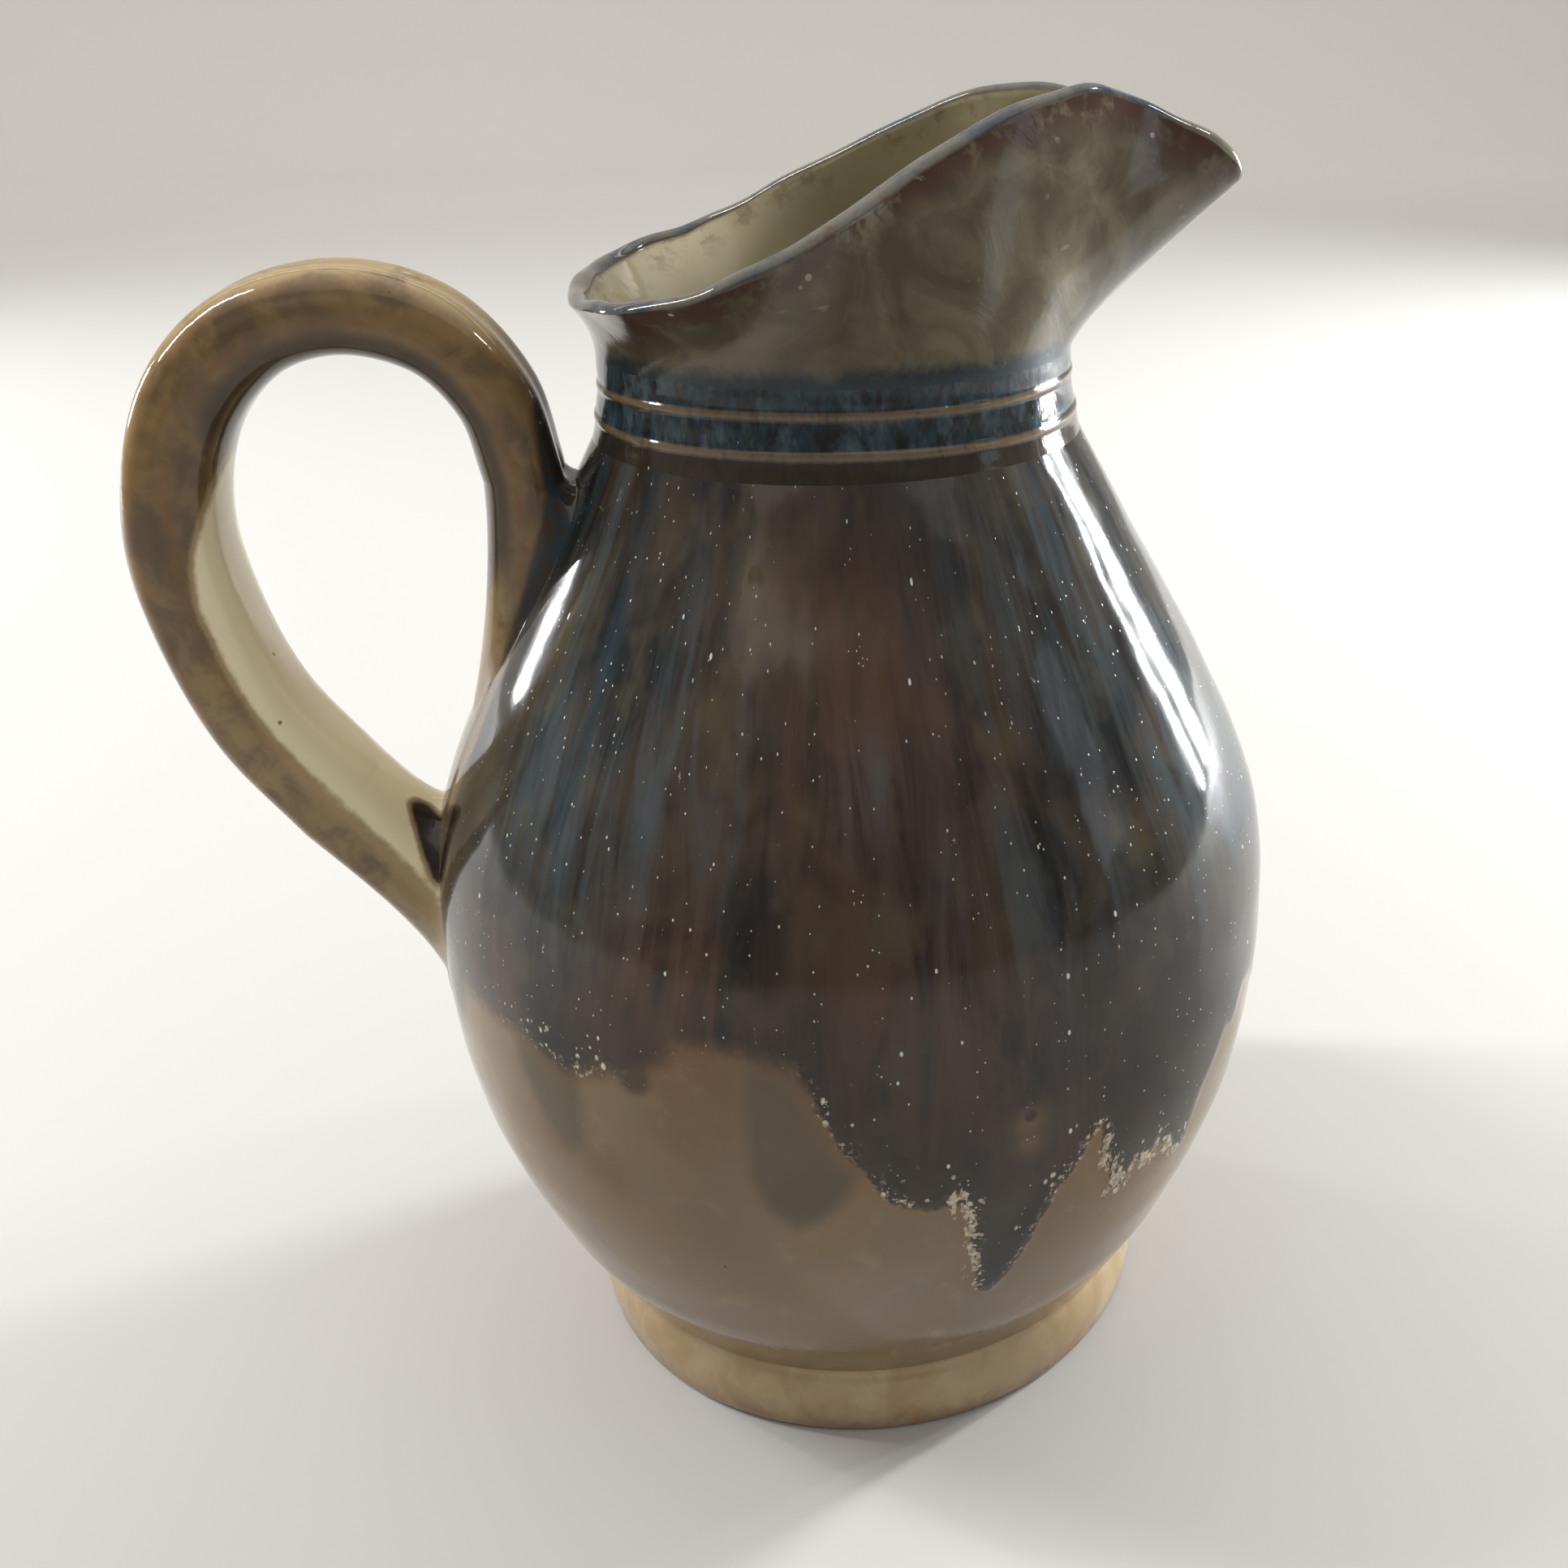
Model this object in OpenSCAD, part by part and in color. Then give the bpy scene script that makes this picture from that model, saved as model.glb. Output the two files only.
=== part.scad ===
// Stoneware pitcher with a pinched high spout and a looped pulled handle.
// Millimetres, +Z up. The spout points to +X, the handle to -X.
// The origin is the centre of the foot, on the surface the pitcher stands on.

/* [Foot] */
// outer radius of the foot where it touches the table
foot_r = 49.6; // [44:0.2:54]
// height of the crease where the foot meets the body
foot_h = 14; // [8:0.5:18]
// how far the side of the foot bulges beyond its edges
foot_bulge = 0.7; // [0:0.1:3]
// radial width of the foot ring
foot_w = 9; // [6:0.5:14]
// depth of the turned recess under the floor
recess = 7; // [4.5:0.5:9]

/* [Body] */
// widest radius of the belly
belly_r = 68.6; // [60:0.2:75]
// height of the widest part of the belly
belly_z = 75; // [65:1:85]
// height of the crease where the shoulder meets the neck
shoulder_z = 157; // [150:0.5:162]
// thickness of the thrown wall
wall = 4.8; // [3.5:0.1:7]
// thickness of the floor at its centre
floor_t = 6.5; // [4:0.5:9]

/* [Neck] */
// outer radius at the bottom of the neck
neck_low_r = 36.6; // [33:0.2:40]
// outer radius at the waist of the neck
neck_r = 35; // [32:0.2:38]
// height of the waist, where the mouth begins
neck_top_z = 169; // [166:0.5:172]
// height of the lower ochre line
line_low_z = 160.7; // [159:0.1:162]
// height of the upper ochre line
line_high_z = 165.4; // [164:0.1:167]
// how far the lines stand proud
line_proud = 0.4; // [0.2:0.1:0.8]
// width of each line
line_w = 1.4; // [0.8:0.1:2]

/* [Mouth] */
// thickness of the mouth wall at the rim
lip_t = 3.2; // [2.4:0.1:4.5]
// height of the rim above the handle
rim_back_z = 178.7; // [175:0.1:184]
// highest point of the rim, on the shoulders of the spout
rim_top_z = 204; // [198:0.5:210]
// how far the spout reaches from the axis
spout_reach = 62; // [52:0.5:70]
// height of the pouring edge
spout_tip_z = 193.5; // [186:0.5:198]

/* [Handle] */
// width of the handle across the hand
grip_w = 20; // [15:0.5:26]
// thickness of the handle at its thin upper end
grip_t = 12; // [10:0.5:17]
// extra thickness at the lower end
grip_grow = 3.6; // [0:0.2:6]
// depth of the groove along the outside of the handle
groove = 0.9; // [0:0.1:1.5]

/* [Hidden] */

$fn = 96;
stoneware = [0.74, 0.63, 0.46];
dark_glaze = [0.25, 0.19, 0.16];
blue_glaze = [0.20, 0.25, 0.31];
olive_glaze = [0.43, 0.36, 0.27];
amber_glaze = [0.55, 0.42, 0.24];

crease_r = foot_r + 0.2;          // outer radius at the foot crease
foot_in = foot_r - foot_w;        // inner radius of the foot ring
neck_in = neck_r - 3.8;           // bore of the neck
floor_z = recess + floor_t;       // top of the floor at the axis

// belly and shoulder outline, foot crease to neck crease: [radius, height]
belly_pts = [
  [crease_r, foot_h],
  [0.853 * belly_r, 30],
  [0.966 * belly_r, 52.5],
  [belly_r, belly_z],
  [0.967 * belly_r, 98],
  [0.828 * belly_r, 120],
  [0.640 * belly_r, 143],
  [neck_low_r, shoulder_z]
];

// half of the rim seen from above, spout tip round to the handle side,
// with its height: [x, y, z]; the other half is its mirror image
rim_pts = [
  [spout_reach, 0, spout_tip_z],
  [spout_reach - 1.6, 4.2, spout_tip_z + 1.6],
  [spout_reach - 7, 6.2, 198.3],
  [44, 8.6, 202.2],
  [34, 14.2, rim_top_z],
  [21, 21.6, 201.2],
  [6, 28.8, 194.4],
  [-8, 36.8, 187.4],
  [-20, 39.2, 182.6],
  [-31, 31, 180],
  [-36.4, 16.5, 179],
  [-38, 0, rim_back_z]
];

// middle line of the handle, neck side over the top to the belly: [x, z]
grip_pts = [
  [-46.8, 152.6],
  [-49.4, 164],
  [-57, 173.2],
  [-69, 176.8],
  [-81.5, 173.6],
  [-91, 163.4],
  [-95.4, 148],
  [-94.2, 133],
  [-89.4, 117.6],
  [-80.5, 103.4]
];

// Curve through points: position on segment i at fraction t
function at_end(p, i) = p[max(0, min(len(p) - 1, i))];
function before(p, i) = i > 0 ? p[i - 1] : 2 * p[0] - p[1];
function after(p, i) = i < len(p) - 1 ? p[i + 1] : 2 * p[i] - p[i - 1];
function blend(a, b, c, d, t) =
  0.5 * (2 * b + (c - a) * t + (2 * a - 5 * b + 4 * c - d) * t * t
  + (3 * b - a - 3 * c + d) * t * t * t);
function along(p, s) =
  let (i = min(len(p) - 2, floor(s)), t = s - i)
  blend(before(p, i), p[i], p[i + 1], after(p, i + 1), t);

// Smooth outline with n steps between neighbouring points
function smooth(p, n) = [for (k = [0 : n * (len(p) - 1)]) along(p, k / n)];

// Outline moved sideways by d, to the left of its direction
function unit(v) = v / norm(v);
function heading(p, i) = unit(at_end(p, i + 1) - at_end(p, i - 1));
function shifted(p, d) = [for (i = [0 : len(p) - 1])
  let (h = heading(p, i)) p[i] + d * [-h[1], h[0]]];

belly_out = smooth(belly_pts, 4);
belly_steps = len(belly_out);
belly_skin = shifted(belly_out, wall);

// inside of the body: rounded from the floor into the wall
belly_in = [for (p = belly_skin) if (p[1] > floor_z + 9 && p[1] < shoulder_z - 5) p];
body_inside = concat(
  [[0, floor_z], [22, floor_z + 0.5], [36, floor_z + 2.4], [45.5, floor_z + 6]],
  belly_in,
  [[neck_in + 1.2, shoulder_z - 2.4], [neck_in + 0.6, shoulder_z]]);

// Ring joined to the underside of the body
module foot_ring()
color(stoneware)
rotate_extrude()
polygon([
  [foot_in + 2.2, 0],
  [foot_r - 1.6, 0],
  [foot_r - 0.4, 0.5],
  [foot_r + 0.2, 1.8],
  [foot_r + foot_bulge, 5.2],
  [foot_r + foot_bulge, 7.6],
  [foot_r + 0.1, 10.6],
  [foot_r - 0.5, 12.4],
  [crease_r, foot_h],
  [foot_in, foot_h],
  [foot_in, recess],
  [foot_in, 2.2],
  [foot_in + 0.7, 0.7]
]);

// Thrown belly and shoulder with its floor
module body()
color(dark_glaze)
rotate_extrude()
polygon(concat(
  [[0, recess], [foot_in, recess], [foot_in, foot_h]],
  belly_out,
  [for (i = [len(body_inside) - 1 : -1 : 0]) body_inside[i]]));

// Half-round line standing proud of the neck at height z
function neck_side(z) =
  neck_r + (neck_low_r - neck_r) * pow((neck_top_z - z) / (neck_top_z - shoulder_z), 2);
function line_arc(z0) = [for (a = [-90 : 30 : 90])
  let (z = z0 + line_w / 2 * sin(a)) [neck_side(z) + line_proud * cos(a), z]];

// Short waisted neck with two raised lines
module neck_collar()
color(blue_glaze)
rotate_extrude()
polygon(concat(
  [[neck_in + 0.6, shoulder_z], [neck_low_r, shoulder_z]],
  line_arc(line_low_z),
  line_arc(line_high_z),
  [[neck_r, neck_top_z], [neck_in, neck_top_z]]));

// Mouth: round at the neck, pinched into a high spout at the rim
rim_half = smooth(rim_pts, 3);
half_n = len(rim_half) - 1;
ring_n = 2 * half_n;
levels = 7;

// full rim from the tip, round by +Y, the handle side and -Y
rim_ring = [for (i = [0 : ring_n - 1])
  i <= half_n ? rim_half[i]
  : let (p = rim_half[ring_n - i]) [p[0], -p[1], p[2]]];

// the neck circle walked in step with the rim, closer together near the spout
function neck_turn(i) =
  let (u = i <= half_n ? i / half_n : (ring_n - i) / half_n,
       a = 180 * (0.78 * u + 0.22 * u * u))
  i <= half_n ? a : -a;
function neck_point(i, r) = [r * cos(neck_turn(i)), r * sin(neck_turn(i)), neck_top_z];

// inner edge of the rim, moved inwards by the lip thickness
function rim_next(i) = rim_ring[(i + 1) % ring_n];
function rim_prev(i) = rim_ring[(i + ring_n - 1) % ring_n];
function inward(i) =
  let (h = rim_next(i) - rim_prev(i), f = unit([h[0], h[1]])) [-f[1], f[0], 0];
function rim_inner(i, d) = rim_ring[i] + d * inward(i);

// the back of the mouth flares late, the spout leans out in a straight line
function flare(i, w) =
  let (back = abs(neck_turn(i)) / 180) pow(w, 1 + 0.9 * back);
function wall_point(a, b, i, w) =
  let (e = flare(i, w))
  [a[0] + (b[0] - a[0]) * e, a[1] + (b[1] - a[1]) * e, a[2] + (b[2] - a[2]) * w];

function outer_ring(k) = [for (i = [0 : ring_n - 1])
  wall_point(neck_point(i, neck_r), rim_ring[i] - [0, 0, 1.3], i, k / levels)];
function inner_ring(k) = [for (i = [0 : ring_n - 1])
  wall_point(neck_point(i, neck_in), rim_inner(i, lip_t) - [0, 0, 1.3], i, k / levels)];
function lip_ring(f, up) = [for (i = [0 : ring_n - 1])
  rim_inner(i, lip_t * f) + [0, 0, up - 1.3]];

mouth_rings = concat(
  [for (k = [0 : levels]) outer_ring(k)],
  [lip_ring(0.18, 0.9), lip_ring(0.5, 1.3), lip_ring(0.82, 0.9)],
  [for (k = [levels : -1 : 0]) inner_ring(k)]);

// Closed tube of rings: last ring joins back onto the first
module ring_solid(rings) {
  m = len(rings);
  n = len(rings[0]);
  polyhedron(
    points = [for (g = rings) for (p = g) p],
    faces = [for (j = [0 : m - 1]) for (i = [0 : n - 1])
      let (a = j * n + i, b = j * n + (i + 1) % n,
           c = ((j + 1) % m) * n + (i + 1) % n, d = ((j + 1) % m) * n + i)
      for (t = [[a, c, b], [a, d, c]]) t]);
}

module mouth_spout()
color(olive_glaze)
ring_solid(mouth_rings);

// Handle section: rounded oblong, grooved on its outer side.
// w is its width along Y, t its thickness, g the groove depth
section_n = 32;
function oblong(a, w, t, g) =
  let (c = cos(a), s = sin(a), q = pow(pow(abs(c), 2.7) + pow(abs(s), 2.7), -1 / 2.7),
       dip = g * exp(-pow(s / 0.33, 2)) * (c > 0 ? 1 : 0))
  [(t / 2) * c * q - dip, (w / 2) * s * q];

// Section placed at p = [x, z], outer side facing direction o = [x, z]
function placed(p, o, w, t, g) = [for (k = [0 : section_n - 1])
  let (v = oblong(360 * k / section_n, w, t, g))
  [p[0] + o[0] * v[0], v[1], p[1] + o[1] * v[0]]];

// Solid skinned over sections, closed with flat ends
module skin(rings) {
  m = len(rings);
  n = len(rings[0]);
  polyhedron(
    points = [for (g = rings) for (p = g) p],
    faces = concat(
      [[for (i = [0 : n - 1]) i]],
      [for (j = [0 : m - 2]) for (i = [0 : n - 1])
        let (a = j * n + i, b = j * n + (i + 1) % n, c = b + n, d = a + n)
        for (t = [[a, c, b], [a, d, c]]) t],
      [[for (i = [n - 1 : -1 : 0]) (m - 1) * n + i]]));
}

grip_line = smooth(grip_pts, 4);
grip_n = len(grip_line) - 1;
// direction across the handle, away from the finger gap
function side_of(h) = [h[1], -h[0]];
grip_end_heading = unit([0.61, -0.79]);
function grip_heading(i) =
  i == 0 ? [0, 1] : i == grip_n ? grip_end_heading : heading(grip_line, i);
function grip_thick(i) = grip_t + grip_grow * pow(i / grip_n, 1.6);
grip_rings = [for (i = [0 : grip_n])
  placed(grip_line[i], side_of(grip_heading(i)), grip_w, grip_thick(i), groove)];

// Pulled handle between its two joints
module handle()
color(amber_glaze)
skin(grip_rings);

// The solid filling the outside of the body, used to trim the joints
module body_core()
rotate_extrude()
polygon(concat([[0, foot_h]], belly_out, [[0, shoulder_z]]));

// Clay worked down from the handle into a tail on the shoulder, listed upwards
upper_path = smooth([[-52, 106], [-54.6, 113], [-51.6, 121], [-48.6, 129],
  [-47.2, 137], [-46.8, 145], grip_pts[0]], 3);
upper_n = len(upper_path) - 1;
upper_rings = [for (i = [0 : upper_n])
  let (u = 1 - i / upper_n, h = i == upper_n ? [0, 1] : heading(upper_path, i),
       swell = sin(180 * u))
  placed(upper_path[i], side_of(h),
    grip_w + 3 * swell - 8 * pow(u, 4), grip_t + 2 * swell, groove * (1 - u))];

module handle_upper_joint()
color(amber_glaze)
difference() {
  skin(upper_rings);
  body_core();
}

// Clay spread where the handle lands on the belly
lower_path = smooth([grip_pts[9], [-74.6, 95.2], [-69.6, 87], [-64, 79], [-55.5, 71.5]], 3);
lower_n = len(lower_path) - 1;
lower_rings = [for (i = [0 : lower_n])
  let (u = i / lower_n, h = i == 0 ? grip_end_heading : heading(lower_path, i))
  placed(lower_path[i], side_of(h),
    grip_w + 9 * u * u, grip_thick(grip_n) + 2.6 * u, groove * (1 - u))];

module handle_lower_joint()
color(amber_glaze)
difference() {
  skin(lower_rings);
  body_core();
}

foot_ring();
body();
neck_collar();
mouth_spout();
handle();
handle_upper_joint();
handle_lower_joint();
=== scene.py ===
import math

import bpy
import numpy as np
from mathutils import Matrix, Vector


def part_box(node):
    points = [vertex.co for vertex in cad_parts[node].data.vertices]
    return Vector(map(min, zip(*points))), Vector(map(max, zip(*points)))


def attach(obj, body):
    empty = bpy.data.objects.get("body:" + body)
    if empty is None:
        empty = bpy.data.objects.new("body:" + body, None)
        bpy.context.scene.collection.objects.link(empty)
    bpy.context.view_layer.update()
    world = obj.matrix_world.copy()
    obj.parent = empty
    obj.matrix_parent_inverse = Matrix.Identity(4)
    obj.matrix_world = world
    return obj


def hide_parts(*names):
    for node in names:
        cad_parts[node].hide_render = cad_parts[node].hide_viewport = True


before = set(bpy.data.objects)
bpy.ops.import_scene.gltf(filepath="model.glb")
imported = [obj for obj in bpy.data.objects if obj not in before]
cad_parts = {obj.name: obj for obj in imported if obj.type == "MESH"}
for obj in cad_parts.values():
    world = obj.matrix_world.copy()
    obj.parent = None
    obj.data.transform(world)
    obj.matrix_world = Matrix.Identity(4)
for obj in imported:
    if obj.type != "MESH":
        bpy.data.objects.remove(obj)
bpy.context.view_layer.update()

# The pitcher is modelled in millimetres and brought to metres as each mesh is made.
# The spout points to +X, the handle to -X, and the pitcher stands on z = 0.
MM = 0.001


def box_mm(node):
    low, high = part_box(node)
    return np.array(low) / MM, np.array(high) / MM


# ---------------------------------------------------------------- sizes

FOOT_H = box_mm("foot_ring")[1][2]       # crease between foot and body
BELLY_R = box_mm("body")[1][0]           # widest radius
SHOULDER_Z = box_mm("body")[1][2]        # crease between body and neck
NECK_TOP_Z = box_mm("neck_collar")[1][2]  # waist, where the mouth begins
SPOUT_REACH = box_mm("mouth_spout")[1][0]
RIM_TOP_Z = box_mm("mouth_spout")[1][2]

FOOT_R = 49.6
FOOT_BULGE = 0.7
FOOT_W = 9.0
FOOT_IN = FOOT_R - FOOT_W
CREASE_R = FOOT_R + 0.2
RECESS = 7.0
WALL = 4.8
FLOOR_Z = RECESS + 6.5
NECK_LOW_R = 36.6
NECK_R = 35.0
NECK_IN = NECK_R - 3.8
LINE_Z = (160.7, 165.4)                  # the two ochre lines on the neck
LINE_PROUD = 0.22
LINE_HALF = 0.52
LIP_T = 3.2
LIP_H = 1.3
RIM_BACK_Z = 178.7
SPOUT_TIP_Z = 193.5
GRIP_W = 20.0
GRIP_T = 12.0
GRIP_GROW = 3.6
GROOVE = 0.9
UPPER_ROOT = (13.2, 151.6, 44)           # where it lands: half width, top height, drop
LOWER_ROOT = (14.5, 83, 18.5)            # where it lands: half width, middle, half height
ROOT_SUNK = 0.45

# belly and shoulder outline, foot crease to neck crease: [radius, height]
BELLY_POINTS = [
    [CREASE_R, FOOT_H],
    [0.853 * BELLY_R, 30],
    [0.966 * BELLY_R, 52.5],
    [BELLY_R, 75],
    [0.967 * BELLY_R, 98],
    [0.828 * BELLY_R, 120],
    [0.640 * BELLY_R, 143],
    [NECK_LOW_R, SHOULDER_Z],
]

# half of the rim, spout tip round to the handle side: [x, y, z]
RIM_POINTS = [
    [SPOUT_REACH, 0, SPOUT_TIP_Z],
    [SPOUT_REACH - 1.6, 4.2, SPOUT_TIP_Z + 1.6],
    [SPOUT_REACH - 7, 6.2, 198.3],
    [44, 8.6, 202.2],
    [34, 14.2, RIM_TOP_Z],
    [21, 21.6, 201.2],
    [6, 28.8, 194.4],
    [-8, 36.8, 187.4],
    [-20, 39.2, 182.6],
    [-31, 31, 180],
    [-36.4, 16.5, 179],
    [-38, 0, RIM_BACK_Z],
]

# middle line of the handle, neck side over the top to the belly: [x, z]
GRIP_POINTS = [
    [-46.8, 152.6],
    [-49.4, 164],
    [-57, 173.2],
    [-69, 176.8],
    [-81.5, 173.6],
    [-91, 163.4],
    [-95.4, 148],
    [-94.2, 133],
    [-89.4, 117.6],
    [-80.5, 103.4],
]
GRIP_END_HEADING = np.array([0.61, -0.79])

# The glaze is laid out by an angle round the body, in degrees, that is 0 close to
# the -Y side and grows towards the spout.
FRONT_TURN = -97.0
MM_PER_DEGREE = math.radians(1) * BELLY_R

# lower edge of the dark glaze, with its drips: [angle, height]
RUN_EDGE = [
    [-60, 81.7], [-46, 82], [-41.5, 80.6], [-37.3, 78.7], [-34, 80.2], [-31.4, 81.8],
    [-29, 80.8], [-26.3, 82.2], [-24, 85], [-21.8, 87.8], [-17.9, 89.2], [-13.6, 88.6],
    [-8.1, 86.6], [-5.2, 80.3], [-3, 75], [-0.9, 70.6], [1.8, 65.1], [4.5, 62.6],
    [7.5, 61.7], [10, 62.2], [11.8, 60], [13.3, 47], [14.4, 40.5], [16, 38.4],
    [17.8, 40.6], [20.1, 47.7], [23.5, 58.7], [25.6, 61.5], [27.6, 66], [29.4, 68.5],
    [30.4, 62], [31.6, 59], [32.6, 54], [34.3, 51.8], [36.9, 57], [39, 54.5],
    [41.3, 58.9], [44, 53], [48.3, 50], [50.4, 62],
]
# soft marks on the buff glaze below the edge, as closed outlines: [angle, height]
GREY_DRIP_OUTLINE = [
    [-14, 92], [-14.3, 80], [-14, 68.5], [-12.4, 62.5], [-9, 58.5], [-5.4, 60.5], [-1.8, 66],
    [0.4, 72], [-1, 80], [-3, 92],
]
OLIVE_DRIP_OUTLINE = [
    [-48, 92], [-47, 77], [-43.5, 69], [-39.5, 63.5], [-36, 66.5], [-35, 74], [-36, 92],
]
# other marks, as places: [strength, angle, height, radius]
AMBER_STAINS = [[0.8, -34, 63, 6], [0.8, -41, 66, 6]]
PITS = [[1, 19.4, 74.9, 1.5], [0.5, -16.1, 145.3, 1.2]]
HALOES = [[1, 19.4, 73.6, 2.6], [0.9, 19.4, 70.2, 2.2], [0.5, -16.1, 143.5, 6]]
CRUSTS = [
    [1, -41, 83, 5], [1, -34.5, 81.5, 4], [1, -4.3, 81, 4.5], [1, -2.6, 77, 3.5],
    [1, 4.5, 63.5, 5], [1, 10, 63, 5], [1, 12.2, 58, 5], [1, 12.8, 50, 5], [1, 13.4, 42, 5],
    [1, 21, 50, 5], [1, 26, 62, 6], [1, 29, 67, 4], [1, 33, 56, 6], [1, 39, 57, 7],
    [1, 46, 55, 8], [1, 90, 60, 9], [1, 165, 58, 10], [1, 230, 62, 12],
]
BLUE_RUNS = [
    [0.9, -38, 122, 26], [0.85, 38, 140, 24], [0.9, 62, 118, 30], [0.55, 2, 121, 8],
    [0.7, 22, 104, 20], [0.7, 140, 125, 34], [0.6, 215, 120, 30], [0.75, -58, 142, 24],
]
RED_RUNS = [
    [0.9, 8, 88, 22], [0.7, 4, 130, 24], [0.7, 24, 70, 16], [1.0, -22, 94, 13],
    [0.9, -51, 90, 8], [0.6, 180, 92, 40],
]
SPECKLED = [
    [1, -38, 128, 34], [1, 44, 120, 36], [0.7, 45, 85, 30], [0.9, -48, 88, 26],
    [0.8, 150, 120, 50],
]
# cream deposits along the edge: [first angle, last angle, lowest, highest]
DEPOSITS = [
    [9.5, 13.6, 39, 64], [30.2, 47, 48, 65], [84, 93, 40, 66], [119, 127, 50, 74],
    [150, 160, 36, 66], [238, 246, 40, 66],
]
BACK_RUN_START = 56
BACK_RUN_END = 296
BACK_RUN_STEP = 3
# drips at the back: [angle, half width in degrees, depth]
BACK_DRIPS = [[88, 9, 16], [128, 7, 9], [161, 10, 21], [214, 8, 12], [246, 9, 17]]


# ---------------------------------------------------------------- curves and meshes


def smoothstep(x, low, high):
    t = np.clip((x - low) / (high - low), 0, 1)
    return t * t * (3 - 2 * t)


def curve(points, steps, first=None, last=None):
    """Smooth curve through points, with so many steps between neighbours."""
    p = np.array(points, float)
    first = 2 * p[0] - p[1] if first is None else np.array(first, float)
    last = 2 * p[-1] - p[-2] if last is None else np.array(last, float)
    p = np.vstack([first, p, last])
    t = (np.arange(steps) / steps)[:, None]
    spans = []
    for a, b, c, d in zip(p, p[1:], p[2:], p[3:]):
        spans.append(0.5 * (2 * b + (c - a) * t + (2 * a - 5 * b + 4 * c - d) * t**2
                            + (3 * b - a - 3 * c + d) * t**3))
    return np.vstack(spans + [p[-2][None]])


def even(points, step):
    """The same line with points about one step apart."""
    p = np.array(points, float)
    way = np.concatenate([[0], np.cumsum(np.linalg.norm(np.diff(p, axis=0), axis=1))])
    at = np.linspace(0, way[-1], max(2, int(round(way[-1] / step)) + 1))
    return np.stack([np.interp(at, way, p[:, k]) for k in range(p.shape[1])], 1)


def sideways(points, distance):
    """A flat line moved to the left of its direction."""
    way = np.gradient(points, axis=0)
    way /= np.linalg.norm(way, axis=1)[:, None]
    return points + distance * np.stack([-way[:, 1], way[:, 0]], 1)


def turned(profile, sides, offset=None):
    """Rings of points: a profile of [radius, height] turned about the upright axis."""
    turn = np.arange(sides) * 2 * math.pi / sides
    radius = np.array(profile)[:, 0][:, None] + 0 * turn
    z = np.array(profile)[:, 1][:, None] + 0 * turn
    if offset is not None:
        radius = radius + offset(turn[None, :] + 0 * z, z, radius)
    return np.stack([radius * np.cos(turn), radius * np.sin(turn), z], -1)


def mesh_piece(name, rings, closed_loop, fields, material, sharp=40):
    """A solid skinned over rings of points in mm.

    A closed loop joins its last ring to its first; otherwise both ends get a fan.
    Each field is a value per point, for the material to read."""
    levels, sides = rings.shape[:2]
    points = rings.reshape(-1, 3)
    fields = {key: np.broadcast_to(f, (levels, sides)).reshape(-1) for key, f in fields.items()}
    index = np.arange(levels * sides).reshape(levels, sides)
    above = np.roll(index, -1, axis=0) if closed_loop else index[1:]
    here = index if closed_loop else index[:-1]
    quads = np.stack([here, np.roll(here, -1, axis=1), np.roll(above, -1, axis=1), above], -1)
    faces = quads.reshape(-1, 4).tolist()
    if not closed_loop:
        low, high = len(points), len(points) + 1
        points = np.vstack([points, rings[0].mean(0), rings[-1].mean(0)])
        for side in range(sides):
            following = (side + 1) % sides
            faces.append([low, index[0, following], index[0, side]])
            faces.append([high, index[-1, side], index[-1, following]])
        fields = {key: np.concatenate([f, [f[:sides].mean(), f[-sides:].mean()]])
                  for key, f in fields.items()}
    mesh = bpy.data.meshes.new(name)
    mesh.from_pydata((points * MM).tolist(), [], faces)
    for key, f in fields.items():
        layer = mesh.attributes.new(key, "FLOAT", "POINT")
        layer.data.foreach_set("value", f.astype(np.float32))
    mesh.shade_smooth()
    mesh.set_sharp_from_angle(angle=math.radians(sharp))
    mesh.materials.append(material)
    piece = bpy.data.objects.new(name, mesh)
    bpy.context.scene.collection.objects.link(piece)
    return piece


# ---------------------------------------------------------------- shape of the thrown wall


def round_angle(turn):
    """Glaze angle in degrees, from -180 to 180, of a turn about the axis."""
    return (np.degrees(turn) - FRONT_TURN + 180) % 360 - 180


def spot(angle, z, at_angle, at_z, radius):
    """1 at a place on the body, falling off smoothly with distance in mm."""
    dx = ((angle - at_angle + 180) % 360 - 180) * MM_PER_DEGREE
    return np.exp(-(dx**2 + (z - at_z) ** 2) / radius**2)


def spots(angle, z, places):
    """The strongest of several spots, each [strength, angle, height, radius]."""
    return np.maximum.reduce([strength * spot(angle, z, *place) for strength, *place in places])


def wall_wobble(turn, z):
    """Unevenness of the hand-thrown wall, in mm, none at the creases."""
    angle = round_angle(turn)
    lumps = (0.16 * np.sin(2 * turn + 0.6 + 0.012 * z) + 0.09 * np.sin(3 * turn - 1.1 + 0.03 * z)
             + 0.035 * np.sin(7 * turn + 0.11 * z))
    rings = 0.028 * np.sin(z / 1.9 + 0.8 * np.sin(turn)) + 0.02 * np.sin(z / 3.7 + 1.4)
    dents = -0.16 * spot(angle, z, 40, 137, 9) + 0.12 * spot(angle, z, 47, 125, 8)
    fade = smoothstep(z, FOOT_H + 1, FOOT_H + 10) * (1 - smoothstep(z, SHOULDER_Z - 12, SHOULDER_Z))
    return fade * (lumps + rings + dents)


belly_line = curve(BELLY_POINTS, 24)


def belly_radius(z):
    return np.interp(z, belly_line[:, 1], belly_line[:, 0])


def on_belly(across, z, sunk):
    """Point on the handle side of the body: mm round from the handle's plane, and height."""
    radius = belly_radius(z) - sunk
    turn = math.pi - across / belly_radius(z)
    return np.stack([radius * np.cos(turn), radius * np.sin(turn), z], -1)


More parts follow.
